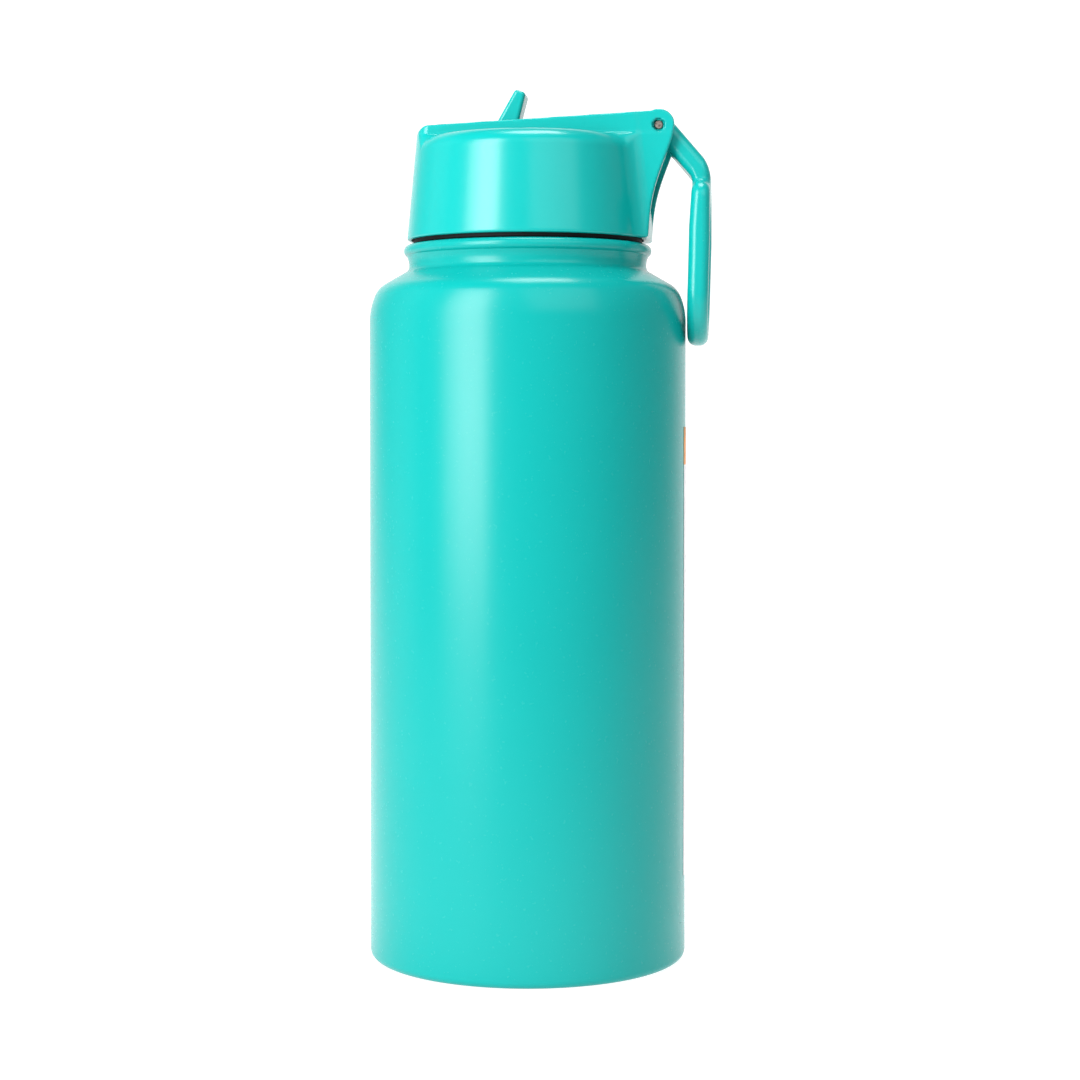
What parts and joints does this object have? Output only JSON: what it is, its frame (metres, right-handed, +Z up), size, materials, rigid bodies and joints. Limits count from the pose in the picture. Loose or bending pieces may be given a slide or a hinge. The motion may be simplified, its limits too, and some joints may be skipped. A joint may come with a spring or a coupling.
{
  "type": "insulated water bottle",
  "caption": "Double-wall vacuum steel drinking bottle with a screw lid, folding straw spout and swinging carry handle, for hiking.",
  "frame": {"origin": "centre of the circle that the bottle stands on, on the bottle's axis", "axes": "+Z up along the bottle's axis, +X towards the carry handle, +Y to the left of someone who looks along +X"},
  "size_m": [0.0971, 0.09, 0.2465],
  "materials": {
    "body_paint": "satin teal powder coat",
    "bare_steel": "brushed stainless",
    "base_steel": "circular brushed stainless",
    "solder": "dull",
    "getter_metal": "dull",
    "label_paper": "coated paper",
    "black_silicone": "matt",
    "clear_silicone": "milky",
    "lid_plastic": "semi-gloss teal",
    "handle_plastic": "semi-gloss teal",
    "plug_plastic": "black moulded",
    "straw_plastic": "translucent",
    "pin_steel": "cut end"
  },
  "bodies": {
    "bottle": {"outer_shell": "body_paint", "base_pan": "bare_steel", "evac_seal": "solder", "base_cover": "base_steel", "inner_flask": "bare_steel", "getter": "getter_metal", "wrap_label": "label_paper"},
    "gasket": {"lid_gasket": "black_silicone"},
    "lid": {"lid_shell": "lid_plastic", "threaded_plug": "plug_plastic", "seat_seal": "clear_silicone", "vent_valve": "clear_silicone", "straw": "straw_plastic", "handle_pin": "pin_steel"},
    "spout": {"spout": "lid_plastic"},
    "handle": {"carry_handle": "handle_plastic"}
  },
  "joints": [
    {"name": "lid_rise", "type": "slide", "parent": "bottle", "child": "gasket", "axis": [0, 0, 1], "range_m": [0, 0.0061]},
    {"name": "lid_turn", "type": "hinge", "parent": "gasket", "child": "lid", "pos_m": [0, 0, 0.2], "axis": [0, 0, 1], "range_deg": [0, 540]},
    {"name": "spout_flip", "type": "hinge", "parent": "lid", "child": "spout", "pos_m": [-0.0083, 0, 0.2295], "axis": [0, 1, 0], "range_deg": [0, 64]},
    {"name": "handle_swing", "type": "hinge", "parent": "lid", "child": "handle", "pos_m": [0.0378, 0, 0.2352], "axis": [0, -1, 0], "range_deg": [0, 180]}
  ],
  "couplings": [
    {"joint": "lid_rise", "follows": "lid_turn", "m_per_rad": 0.00063662}
  ]
}
